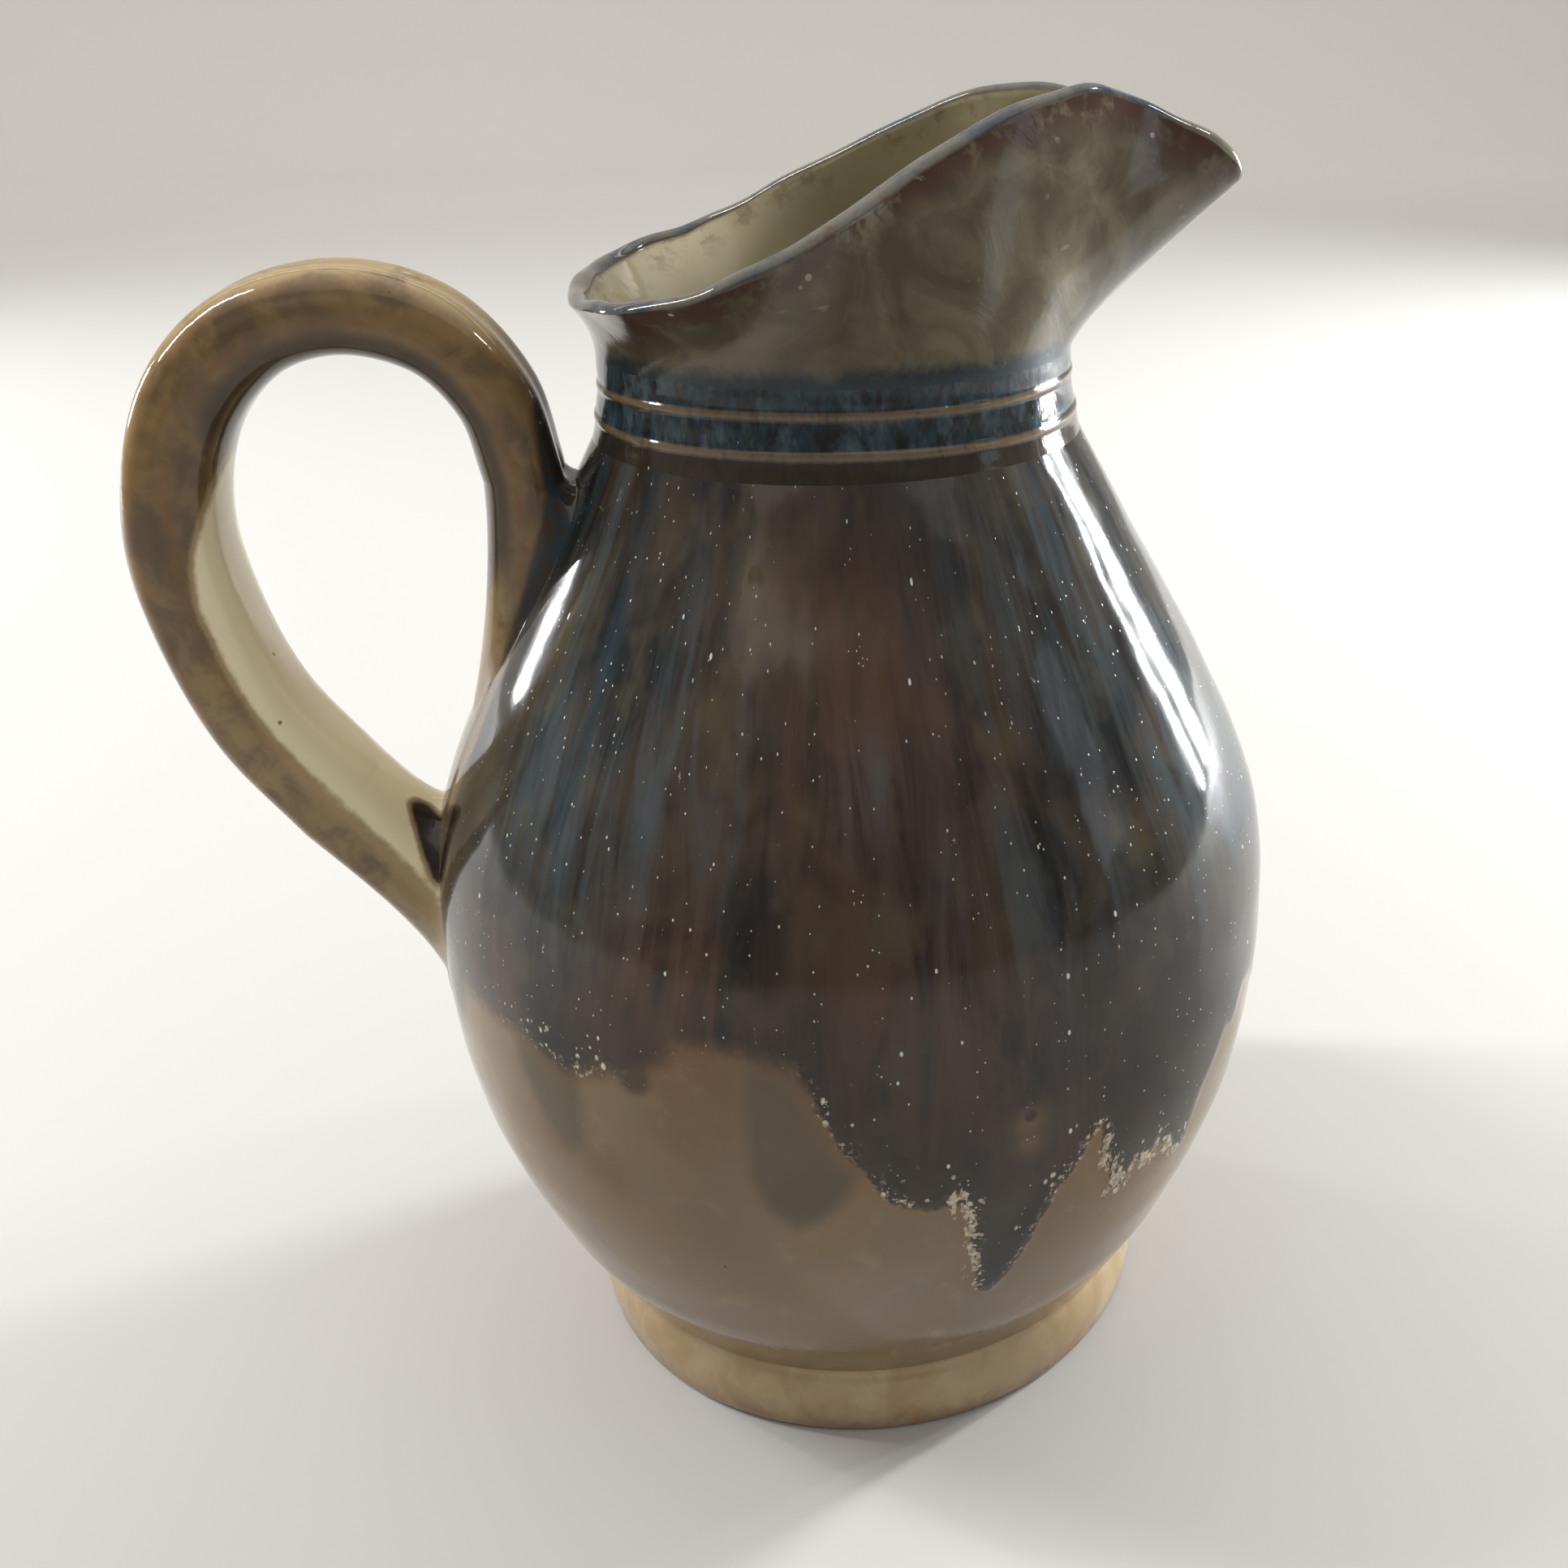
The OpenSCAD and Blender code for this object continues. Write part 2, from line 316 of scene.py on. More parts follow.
# ---------------------------------------------------------------- glaze layout on the body


def run_edge_line():
    """The dark glaze's lower edge all the way round, as [angle, height]."""
    back = []
    for angle in range(BACK_RUN_START, BACK_RUN_END, BACK_RUN_STEP):
        a = math.radians(angle)
        height = 68 + 8 * math.sin(1.9 * a + 0.5) + 4 * math.sin(5.2 * a) + 2.5 * math.sin(13 * a)
        height += 1.8 * math.sin(29 * a) + 1.2 * math.sin(47 * a + 1)
        for centre, width, depth in BACK_DRIPS:
            height -= depth * math.exp(-(((angle - centre) / width) ** 4))
        back.append([angle, height])
    first = [RUN_EDGE[0][0] + 360, RUN_EDGE[0][1]]
    return np.array(RUN_EDGE + back + [first])


def signed_distance(angle, z, line):
    """Distance in mm to the line, positive above it, on the unrolled body."""
    angle = np.where(angle < line[0, 0], angle + 360, angle)
    above = z > np.interp(angle, line[:, 0], line[:, 1])
    x = angle * MM_PER_DEGREE
    best = np.full(x.shape, 1e9)
    for shift in (-360, 0, 360):
        px = (line[:, 0] + shift) * MM_PER_DEGREE
        for ax, ay, bx, by in zip(px, line[:, 1], px[1:], line[1:, 1]):
            if bx < x.min() - 30 or ax > x.max() + 30:
                continue
            length = (bx - ax) ** 2 + (by - ay) ** 2
            t = np.clip(((x - ax) * (bx - ax) + (z - ay) * (by - ay)) / length, 0, 1)
            best = np.minimum(best, (x - ax - t * (bx - ax)) ** 2 + (z - ay - t * (by - ay)) ** 2)
    return np.sqrt(best) * np.where(above, 1, -1)


def inside_distance(angle, z, outline):
    """Distance in mm inside a closed outline on the unrolled body; negative outside."""
    x = angle * MM_PER_DEGREE
    corners = np.array(outline, float) * [MM_PER_DEGREE, 1]
    best = np.full(x.shape, 1e9)
    inside = np.zeros(x.shape, bool)
    for (ax, ay), (bx, by) in zip(corners, np.roll(corners, -1, axis=0)):
        length = (bx - ax) ** 2 + (by - ay) ** 2
        t = np.clip(((x - ax) * (bx - ax) + (z - ay) * (by - ay)) / length, 0, 1)
        best = np.minimum(best, (x - ax - t * (bx - ax)) ** 2 + (z - ay - t * (by - ay)) ** 2)
        crossing = (ay > z) != (by > z)
        inside ^= crossing & (x < ax + (bx - ax) * (z - ay) / (by - ay if by != ay else 1e-9))
    return np.sqrt(best) * np.where(inside, 1, -1)


def hanging_drip(angle, z, centre, half_width, tip_z, top_z):
    """Distance in mm inside a round-ended upright drip; negative outside."""
    dx = ((angle - centre + 180) % 360 - 180) * MM_PER_DEGREE
    dz = z - np.clip(z, tip_z + half_width, top_z)
    return half_width - np.hypot(dx, dz)


def glaze_fields(rings):
    """What covers each point of the outside of the body."""
    turn = np.arctan2(rings[..., 1], rings[..., 0])
    angle = round_angle(turn)
    z = rings[..., 2]
    cover = signed_distance(angle, z, run_edge_line())
    soft = 0.35 + 2.0 * (1 - smoothstep(angle, -10, -4)) * (angle > -75)
    soft = np.where(np.abs(angle - 7.5) < 5, 0.8, soft)
    grey_inside = inside_distance(angle, z, GREY_DRIP_OUTLINE)
    grey = smoothstep(grey_inside, -1.2, 2.0) * (0.75 + 0.25 * (1 - smoothstep(z, 62, 76)))
    ring = hanging_drip(angle, z, -20.5, 7.8, 70, 90)
    rust = smoothstep(ring, -3.5, 3.5) * (0.5 + 0.4 * smoothstep(z, 74, 88))
    rust = np.maximum(rust, spots(angle, z, AMBER_STAINS))
    olive = smoothstep(inside_distance(angle, z, OLIVE_DRIP_OUTLINE), -1.5, 2.5)
    small = smoothstep(hanging_drip(angle, z, -27.4, 2.6, 79.5, 84), -1, 1)
    small = np.maximum(small, 0.7 * smoothstep(hanging_drip(angle, z, -32.5, 2.2, 80, 84), -1, 1))
    deposit = np.zeros(angle.shape)
    for left, right, low, high in DEPOSITS:
        here = smoothstep(angle, left - 1, left) * (1 - smoothstep(angle, right, right + 1))
        here = here * smoothstep(z, low - 2, low) * (1 - smoothstep(z, high, high + 3))
        deposit = np.maximum(deposit, here * np.exp(-((cover - 0.6) / 2.3) ** 2))
    across = np.abs((np.degrees(turn) % 360) - 180) * MM_PER_DEGREE
    strip_half = 9 + 6.5 * smoothstep(z, 76, 104)
    strip = 1 - smoothstep(across - strip_half, -2.5, 1.5)
    strip = strip * smoothstep(z, 78, 100) * (1 - smoothstep(z, 138, 152))
    return {"cover": cover, "soft": soft, "grey": grey, "rust": rust, "olive": olive,
            "small_drips": small, "deposit": deposit, "strip": strip,
            "crust": spots(angle, z, CRUSTS), "pit": spots(angle, z, PITS),
            "halo": spots(angle, z, HALOES), "blue": spots(angle, z, BLUE_RUNS),
            "warm": spots(angle, z, RED_RUNS),
            "peppered": 0.42 + 0.58 * spots(angle, z, SPECKLED)}


# ---------------------------------------------------------------- materials


class Glaze:
    """A material on one Principled shader, built up from nodes."""

    def __init__(self, name):
        self.material = bpy.data.materials.new(name)
        self.material.use_nodes = True
        self.tree = self.material.node_tree
        self.tree.nodes.clear()
        self.shader = self.tree.nodes.new("ShaderNodeBsdfPrincipled")
        output = self.tree.nodes.new("ShaderNodeOutputMaterial")
        self.tree.links.new(self.shader.outputs["BSDF"], output.inputs["Surface"])
        self.place = self.node("ShaderNodeTexCoord").outputs["Object"]
        split = self.node("ShaderNodeSeparateXYZ", Vector=self.place)
        self.x, self.y, self.z = split.outputs
        scaled = self.node("ShaderNodeVectorMath", {"operation": "MULTIPLY"})
        self.set(scaled.inputs[0], self.place)
        scaled.inputs[1].default_value = (1 / MM, 1 / MM, 1 / MM)
        self.place_mm = scaled.outputs[0]

    def node(self, kind, settings=None, **inputs):
        made = self.tree.nodes.new(kind)
        for key, value in (settings or {}).items():
            setattr(made, key, value)
        for key, value in inputs.items():
            self.set(made.inputs[key.replace("_", " ")], value)
        return made

    def set(self, socket, value):
        if isinstance(value, bpy.types.NodeSocket):
            self.tree.links.new(value, socket)
        elif isinstance(value, tuple) and len(value) == 3 and socket.type == "RGBA":
            socket.default_value = (*value, 1)
        else:
            socket.default_value = value

    def math(self, operation, a, b=0.0, c=0.0):
        made = self.tree.nodes.new("ShaderNodeMath")
        made.operation = operation
        for socket, value in zip(made.inputs, (a, b, c)):
            self.set(socket, value)
        return made.outputs[0]

    def add(self, a, b):
        return self.math("ADD", a, b)

    def times(self, a, b):
        return self.math("MULTIPLY", a, b)

    def most(self, a, b):
        return self.math("MAXIMUM", a, b)

    def rest(self, a):
        return self.math("SUBTRACT", 1.0, a)

    def field(self, name):
        return self.node("ShaderNodeAttribute", {"attribute_name": name}).outputs["Fac"]

    def step(self, value, low, high):
        """0 below low, 1 above high, smooth between."""
        made = self.node("ShaderNodeMapRange", {"interpolation_type": "SMOOTHSTEP"}, Value=value)
        self.set(made.inputs["From Min"], low)
        self.set(made.inputs["From Max"], high)
        return made.outputs["Result"]

    def unrolled(self, z_factor):
        """The place in mm on a straight cylinder, so that marks run up and down the wall."""
        flat = self.node("ShaderNodeCombineXYZ", X=self.x, Y=self.y).outputs[0]
        unit = self.node("ShaderNodeVectorMath", {"operation": "NORMALIZE"})
        self.set(unit.inputs[0], flat)
        wide = self.node("ShaderNodeVectorMath", {"operation": "SCALE"}, Scale=BELLY_R)
        self.set(wide.inputs[0], unit.outputs[0])
        up = self.node("ShaderNodeCombineXYZ", Z=self.times(self.z, z_factor / MM)).outputs[0]
        both = self.node("ShaderNodeVectorMath", {"operation": "ADD"})
        self.set(both.inputs[0], wide.outputs[0])
        self.set(both.inputs[1], up)
        return both.outputs[0]

    def noise(self, where, size, detail=3.0, roughness=0.55, distortion=0.0):
        """Cloudy values about 0.5, with features about size mm across."""
        return self.node("ShaderNodeTexNoise", Vector=where, Scale=1 / size, Detail=detail,
                         Roughness=roughness, Distortion=distortion).outputs["Fac"]

    def specks(self, where, spacing, least, most, share):
        """Dots spaced mm apart with radii between least and most mm; share is how many show."""
        cells = self.node("ShaderNodeTexVoronoi", Vector=where, Scale=1 / spacing, Randomness=1.0)
        pick = self.node("ShaderNodeSeparateColor", Color=cells.outputs["Color"])
        radius = self.math("MULTIPLY_ADD", self.math("POWER", pick.outputs[0], 2.2),
                           (most - least) / spacing, least / spacing)
        shown = self.math("LESS_THAN", pick.outputs[1], share)
        near = self.rest(self.step(self.math("DIVIDE", cells.outputs["Distance"], radius), 0.7, 1.1))
        return self.times(near, shown)

    def mix(self, factor, a, b):
        made = self.node("ShaderNodeMix", {"data_type": "RGBA"})
        self.set(made.inputs[0], factor)
        self.set(made.inputs[6], a)
        self.set(made.inputs[7], b)
        return made.outputs[2]

    def relief(self, height_mm):
        """Height in mm as bump on the shader."""
        bump = self.node("ShaderNodeBump", Height=height_mm, Distance=MM, Strength=1.0)
        self.set(self.shader.inputs["Normal"], bump.outputs["Normal"])

    def finish(self, colour, roughness):
        self.set(self.shader.inputs["Base Color"], colour)
        self.set(self.shader.inputs["Roughness"], roughness)
        self.shader.inputs["IOR"].default_value = GLAZE_IOR
        return self.material


GLAZE_IOR = 1.44

# glaze and clay colours, with a few colours of painted shade, as linear red, green and blue
# painted shade colour for the lower part of the dark glaze
LOW_PAINTED_DARK = (0.006, 0.005, 0.004)
INK = (0.014, 0.013, 0.012)
UMBER = (0.052, 0.036, 0.023)
RED_UMBER = (0.098, 0.042, 0.018)
SLATE_BLUE = (0.075, 0.098, 0.108)
TEAL = (0.020, 0.045, 0.062)
OLIVE_DARK = (0.076, 0.060, 0.028)
KHAKI = (0.195, 0.126, 0.060)
KHAKI_GREY = (0.165, 0.122, 0.074)
KHAKI_LIGHT = (0.300, 0.215, 0.120)
AMBER_STAIN = (0.140, 0.072, 0.028)
OCHRE = (0.270, 0.175, 0.080)
GREY_DRIP = (0.088, 0.068, 0.038)
RUST = (0.190, 0.092, 0.034)
AMBER = (0.225, 0.138, 0.058)
BROWN = (0.118, 0.078, 0.042)
CREAM = (0.840, 0.740, 0.500)
CRYSTAL = (0.560, 0.490, 0.360)
WHITE_SPECK = (0.620, 0.640, 0.600)
IRON = (0.035, 0.022, 0.014)
INSIDE = (0.440, 0.385, 0.245)
INSIDE_DARK = (0.290, 0.255, 0.160)
CLAY = (0.420, 0.330, 0.210)
LINE_BROWN = (0.115, 0.072, 0.038)
LINE_OCHRE = (0.190, 0.130, 0.070)
MOUTH_DARK = (0.078, 0.063, 0.039)
MOUTH_OLIVE = (0.150, 0.125, 0.078)
MOUTH_SPOT = (0.060, 0.038, 0.026)
PLUM = (0.060, 0.027, 0.020)
# painted shade colour under the spout
SPOUT_PAINTED_SHADE = (0.022, 0.021, 0.019)
SCUFF = (0.250, 0.195, 0.120)
INNER_STAIN = (0.165, 0.118, 0.062)
LIP_BLUE = (0.030, 0.048, 0.078)
LIP_GREY = (0.120, 0.108, 0.084)
LIP_RUST = (0.100, 0.046, 0.028)
LIP_PALE = (0.260, 0.225, 0.160)
GRIP_OCHRE = (0.370, 0.265, 0.120)
# painted shade colours of the handle
GRIP_SHADE = (0.045, 0.034, 0.026)
GRIP_SHADOW_BLACK = (0.030, 0.024, 0.020)
CREAM_EDGE = (0.400, 0.280, 0.140)
FOOT_TAN = (0.330, 0.225, 0.115)
FOOT_PALE = (0.420, 0.310, 0.180)
FOOT_PINK = (0.235, 0.135, 0.078)
FOOT_SMUDGE = (0.075, 0.048, 0.030)


def inside_colour(g):
    return g.mix(g.noise(g.place_mm, 14, 4), INSIDE_DARK, INSIDE)


def body_material():
    g = Glaze("body_glaze")
    wall = g.unrolled(1.0)
    streaks = g.noise(g.unrolled(0.16), 6.0, 5, 0.62, 0.8)
    clouds = g.noise(wall, 16, 4, 0.55, 0.6)
    fine = g.noise(wall, 1.1, 3)
    broad = g.noise(wall, 6, 3)

    # the dark glaze: umber with red, olive and slate-blue runs
    dark = g.mix(g.step(clouds, 0.38, 0.66), INK, UMBER)
    warm = g.times(g.field("warm"), g.step(streaks, 0.30, 0.62))
    dark = g.mix(warm, dark, RED_UMBER)
    olive_run = g.times(g.step(g.noise(wall, 11, 3), 0.52, 0.72), 0.55)
    dark = g.mix(olive_run, dark, OLIVE_DARK)
    blue = g.times(g.field("blue"), g.step(streaks, 0.36, 0.68))
    dark = g.mix(g.times(blue, 0.85), dark, SLATE_BLUE)
    teal = g.times(g.field("blue"), g.step(g.noise(g.unrolled(0.16), 7, 3), 0.52, 0.70))
    dark = g.mix(g.times(teal, 0.7), dark, TEAL)

    # painted shade: the dark glaze is darkened towards the bottom, standing in for the dark reflection on
    # the lower belly
    low_painted_dark = g.rest(g.step(g.z, 66 * MM, 112 * MM))
    dark = g.mix(g.times(low_painted_dark, 0.55), dark, LOW_PAINTED_DARK)

    # the buff glaze below it
    buff = g.mix(g.step(g.noise(wall, 22, 4), 0.35, 0.65), KHAKI, KHAKI_GREY)
    buff = g.mix(g.times(g.step(broad, 0.55, 0.8), 0.4), buff, KHAKI_LIGHT)
    smear = g.times(g.field("rust"), g.step(g.noise(wall, 5, 4, 0.65), 0.18, 0.52))
    buff = g.mix(smear, buff, AMBER_STAIN)
    buff = g.mix(g.times(g.field("olive"), 0.85), buff, OLIVE_DARK)
    greyed = g.times(g.field("grey"), g.step(g.noise(wall, 4, 3), 0.0, 0.36))
    buff = g.mix(greyed, buff, GREY_DRIP)
    buff = g.mix(g.times(g.specks(wall, 7, 0.10, 0.45, 0.20), 0.8), buff, IRON)

    # where the dark glaze ends: drawn drips with a ragged rim
    ragged = g.add(g.times(g.math("SUBTRACT", broad, 0.5), 3.0),
                   g.times(g.math("SUBTRACT", fine, 0.5), 1.6))
    edge = g.add(g.field("cover"), ragged)
    soft = g.field("soft")
    covered = g.step(edge, g.times(soft, -1.0), soft)
    covered = g.most(covered, g.times(g.field("small_drips"), 0.85))
    rim = g.times(g.rest(g.step(g.math("ABSOLUTE", g.add(edge, -0.2)), 0.0, 3.2)), 0.45)
    colour = g.mix(rim, buff, RUST)
    colour = g.mix(covered, colour, dark)
    ochre = g.add(g.field("strip"), g.times(g.math("SUBTRACT", streaks, 0.5), 1.1))
    strip = g.step(g.add(ochre, g.times(g.math("SUBTRACT", broad, 0.5), 0.6)), 0.35, 0.85)
    colour = g.mix(strip, colour, g.mix(g.step(streaks, 0.3, 0.7), BROWN, OCHRE))

    # cream crystals along the edge, pale specks in the dark glaze, two pits
    crystal = g.step(g.noise(wall, 1.0, 4, 0.7), 0.55, 0.61)
    band = g.rest(g.step(g.math("ABSOLUTE", g.add(edge, -0.6)), 0.3, 1.6))
    crystal = g.times(crystal, g.times(band, g.field("crust")))
    patchy = g.step(g.noise(wall, 3.2, 2), 0.40, 0.54)
    flecks = g.specks(g.unrolled(0.75), 1.25, 0.16, 0.55, g.field("crust"))
    flecks = g.times(flecks, g.times(g.step(edge, -0.8, 0.2), g.rest(g.step(edge, 3.0, 7.0))))
    crystal = g.times(g.most(crystal, flecks), patchy)
    lumps = g.noise(g.unrolled(0.6), 2.0, 4, 0.72, 0.5)
    lumps = g.step(g.add(lumps, g.times(g.field("deposit"), 0.27)), 0.71, 0.75)
    colour = g.mix(lumps, colour, g.mix(g.step(fine, 0.35, 0.65), KHAKI, CRYSTAL))
    colour = g.mix(crystal, colour, CRYSTAL)
    speck = g.specks(g.unrolled(0.62), 3.0, 0.13, 0.36, g.times(g.field("peppered"), 0.52))
    tiny = g.specks(g.unrolled(0.8), 1.2, 0.10, 0.19, g.times(g.field("peppered"), 0.74))
    speck = g.times(g.most(speck, g.times(tiny, 0.85)), covered)
    colour = g.mix(g.times(speck, 0.9), colour, WHITE_SPECK)
    colour = g.mix(g.times(g.field("halo"), 0.55), colour, KHAKI)
    colour = g.mix(g.step(g.field("pit"), 0.45, 0.8), colour, IRON)
    colour = g.mix(g.field("inside"), colour, inside_colour(g))
    colour = g.mix(g.field("bare"), colour, g.mix(fine, CLAY, KHAKI_LIGHT))

    swell = g.times(g.noise(wall, 9, 2, 0.4), 0.10)
    ripple = g.times(g.noise(wall, 2.4, 2, 0.4), 0.006)
    grit = g.add(g.times(crystal, 0.05), g.times(speck, 0.02))
    g.relief(g.add(g.add(swell, ripple), grit))
    roughness = g.add(g.times(g.noise(wall, 5, 3), 0.10), 0.04)
    roughness = g.add(roughness, g.times(g.field("bare"), 0.5))
    return g.finish(colour, g.add(roughness, g.times(g.most(crystal, speck), 0.25)))


def collar_material():
    g = Glaze("collar_glaze")
    wall = g.unrolled(1.0)
    mottle = g.noise(wall, 3.5, 4, 0.65, 0.4)
    base = g.mix(g.step(mottle, 0.35, 0.7), INK, TEAL)
    base = g.mix(g.times(g.step(g.noise(wall, 6, 4, 0.65), 0.48, 0.70), 0.7), base, SLATE_BLUE)
    low = g.rest(g.step(g.z, (LINE_Z[0] - 1.4) * MM, (LINE_Z[0] - 0.2) * MM))
    base = g.mix(low, base, g.mix(mottle, INK, UMBER))
    line = g.times(g.field("line"), g.step(g.noise(wall, 3.0, 4, 0.7), 0.18, 0.50))
    line_colour = g.mix(mottle, LINE_BROWN, LINE_OCHRE)
    colour = g.mix(g.times(line, 0.95), base, line_colour)
    blot = g.step(g.noise(wall, 5, 4, 0.7), 0.62, 0.72)
    colour = g.mix(g.times(blot, 0.35), colour, SLATE_BLUE)
    colour = g.mix(g.times(g.specks(wall, 3, 0.1, 0.3, 0.3), 0.7), colour, WHITE_SPECK)
    colour = g.mix(g.field("inside"), colour, inside_colour(g))
    g.relief(g.add(g.times(g.noise(wall, 4, 3), 0.06), g.times(mottle, 0.02)))
    return g.finish(colour, g.add(g.times(mottle, 0.12), 0.05))


def mouth_material():
    g = Glaze("mouth_glaze")
    clouds = g.noise(g.place_mm, 11, 5, 0.6, 0.8)
    mottle = g.noise(g.place_mm, 3.2, 4, 0.65, 0.5)
    olive = g.mix(g.step(clouds, 0.35, 0.68), MOUTH_DARK, MOUTH_OLIVE)
    olive = g.mix(g.times(g.step(mottle, 0.58, 0.78), 0.4), olive, MOUTH_SPOT)
    near_rim = g.times(g.field("near_rim"), g.step(g.noise(g.place_mm, 5, 4, 0.7), 0.36, 0.52))
    colour = g.mix(g.times(near_rim, 0.9), olive, PLUM)
    # painted shade: the outside under the spout is darkened
    spout_shade_mask = g.times(g.field("painted_spout_shade"), 0.85)
    colour = g.mix(spout_shade_mask, colour, SPOUT_PAINTED_SHADE)
    neck = g.rest(g.step(g.add(g.z, g.times(g.math("SUBTRACT", mottle, 0.5), 4 * MM)),
                         (NECK_TOP_Z + 0.6) * MM, (NECK_TOP_Z + 3.2) * MM))
    colour = g.mix(neck, colour, g.mix(clouds, INK, TEAL))
    scuff_place = g.node("ShaderNodeMapping", Vector=g.place_mm)
    scuff_place.inputs["Rotation"].default_value = (0, math.radians(38), 0)
    scuff_place.inputs["Scale"].default_value = (0.22, 1, 1)
    scuff = g.step(g.noise(scuff_place.outputs[0], 2.6, 4, 0.6), 0.67, 0.73)
    colour = g.mix(g.times(scuff, 0.6), colour, SCUFF)
    blot = g.specks(g.place_mm, 9, 0.5, 2.2, 0.30)
    colour = g.mix(g.times(blot, 0.30), colour, SLATE_BLUE)
    colour = g.mix(g.field("inside"), colour, inside_colour(g))
    stain = g.step(g.noise(g.place_mm, 4.5, 4, 0.7), 0.50, 0.66)
    inner_stain = g.times(g.times(g.field("inner_rim"), stain), 0.55)
    colour = g.mix(inner_stain, colour, INNER_STAIN)
    shade = g.noise(g.place_mm, 9, 4, 0.65)
    lip = g.step(g.add(g.field("lip"), g.times(g.math("SUBTRACT", mottle, 0.5), 0.8)), 0.5, 0.9)
    lip_colour = g.mix(g.step(shade, 0.35, 0.55), LIP_BLUE, LIP_GREY)
    lip_colour = g.mix(g.step(shade, 0.55, 0.68), lip_colour, LIP_RUST)
    lip_colour = g.mix(g.field("tip"), lip_colour, LIP_PALE)
    colour = g.mix(g.times(lip, 0.9), colour, lip_colour)
    bubbles = g.times(g.field("near_rim"), g.specks(g.place_mm, 2.4, 0.2, 0.6, 0.35))
    colour = g.mix(g.times(bubbles, 0.6), colour, CRYSTAL)
    g.relief(g.add(g.times(clouds, 0.11), g.times(mottle, 0.015)))
    smooth_lip = g.rest(g.times(g.field("lip"), 0.7))
    return g.finish(colour, g.times(smooth_lip, g.add(g.times(mottle, 0.14), 0.06)))


def handle_material():
    g = Glaze("handle_glaze")
    clouds = g.noise(g.place_mm, 9, 4, 0.6, 0.5)
    mottle = g.noise(g.place_mm, 2.2, 4, 0.65, 0.3)
    colour = g.mix(g.step(clouds, 0.38, 0.64), BROWN, AMBER)
    colour = g.mix(g.times(g.field("ochre"), g.step(clouds, 0.25, 0.6)), colour, GRIP_OCHRE)
    colour = g.mix(g.times(g.field("ridge"), g.step(mottle, 0.25, 0.65)), colour, RUST)
    # painted shade and shadow from the shadow field, darkest at the lower root
    shadow = g.add(g.field("shadow"), g.times(g.math("SUBTRACT", clouds, 0.5), 0.7))
    colour = g.mix(g.times(g.step(shadow, 0.35, 0.85), 0.75), colour, GRIP_SHADE)
    colour = g.mix(g.step(shadow, 1.0, 1.5), colour, GRIP_SHADOW_BLACK)
    cream = g.add(g.field("cream"), g.times(g.math("SUBTRACT", mottle, 0.5), 0.35))
    colour = g.mix(g.times(g.step(cream, 0.15, 0.45), 0.8), colour, CREAM_EDGE)
    colour = g.mix(g.step(cream, 0.45, 0.8), colour, CREAM)
    dark = g.add(g.field("dark"), g.times(g.math("SUBTRACT", clouds, 0.5), 0.5))
    colour = g.mix(g.step(dark, 0.35, 0.75), colour, g.mix(g.step(mottle, 0.4, 0.7), UMBER, TEAL))
    colour = g.mix(g.times(g.specks(g.place_mm, 4.5, 0.1, 0.35, 0.35), 0.75), colour, IRON)
    g.relief(g.add(g.times(clouds, 0.12), g.times(mottle, 0.015)))
    return g.finish(colour, g.add(g.times(mottle, 0.10), 0.05))


def foot_material():
    g = Glaze("foot_stoneware")
    wall = g.unrolled(1.0)
    clouds = g.noise(wall, 12, 4, 0.6, 0.4)
    colour = g.mix(g.step(clouds, 0.35, 0.65), FOOT_TAN, FOOT_PALE)
    low = g.rest(g.step(g.add(g.z, g.times(g.math("SUBTRACT", clouds, 0.5), 5 * MM)), 0.5 * MM, 5.5 * MM))
    colour = g.mix(g.times(low, 0.75), colour, FOOT_PINK)
    smudge = g.times(low, g.step(g.noise(wall, 5, 4, 0.7), 0.60, 0.70))
    colour = g.mix(g.times(smudge, 0.7), colour, FOOT_SMUDGE)
    colour = g.mix(g.times(g.specks(wall, 6, 0.1, 0.4, 0.3), 0.7), colour, IRON)
    colour = g.mix(g.field("bare"), colour, CLAY)
    g.relief(g.add(g.times(clouds, 0.10), g.times(g.noise(wall, 1.6, 3), 0.02)))
    roughness = g.add(g.add(g.times(clouds, 0.12), 0.10), g.times(g.field("bare"), 0.5))
    return g.finish(colour, roughness)


# ---------------------------------------------------------------- pieces

SIDES = 480


def make_foot():
    ring = curve([
        [FOOT_R - 1.6, 0.02],
        [FOOT_R - 0.4, 0.5],
        [FOOT_R + 0.2, 1.8],
        [FOOT_R + FOOT_BULGE, 5.2],
        [FOOT_R + FOOT_BULGE, 7.6],
        [FOOT_R + 0.1, 10.6],
        [FOOT_R - 0.5, 12.4],
        [CREASE_R, FOOT_H],
    ], 8)
    under = [[FOOT_IN, FOOT_H], [FOOT_IN, RECESS], [FOOT_IN, 2.2], [FOOT_IN + 0.7, 0.7],
             [FOOT_IN + 2.2, 0]]
    profile = np.vstack([[[FOOT_R - 2.6, 0]], ring, even(under, 0.8)])

    def uneven(turn, z, radius):
        outside = smoothstep(radius, FOOT_IN + 3, FOOT_R - 1)
        return outside * smoothstep(z, 0, 3) * (1 - smoothstep(z, 11.5, FOOT_H)) * (
            0.14 * np.sin(3 * turn + 0.4) + 0.07 * np.sin(8 * turn + z / 4))

    rings = turned(profile, SIDES, uneven)
    radius = np.hypot(rings[..., 0], rings[..., 1])
    bare = 1 - smoothstep(radius, FOOT_R - 3.2, FOOT_R - 1.8) * smoothstep(rings[..., 2], 0.1, 0.6)
    bare = np.where(radius > FOOT_R - 0.6, 0, bare)
    return mesh_piece("foot_ring_fine", rings, True, {"bare": bare}, foot_material(), 50)


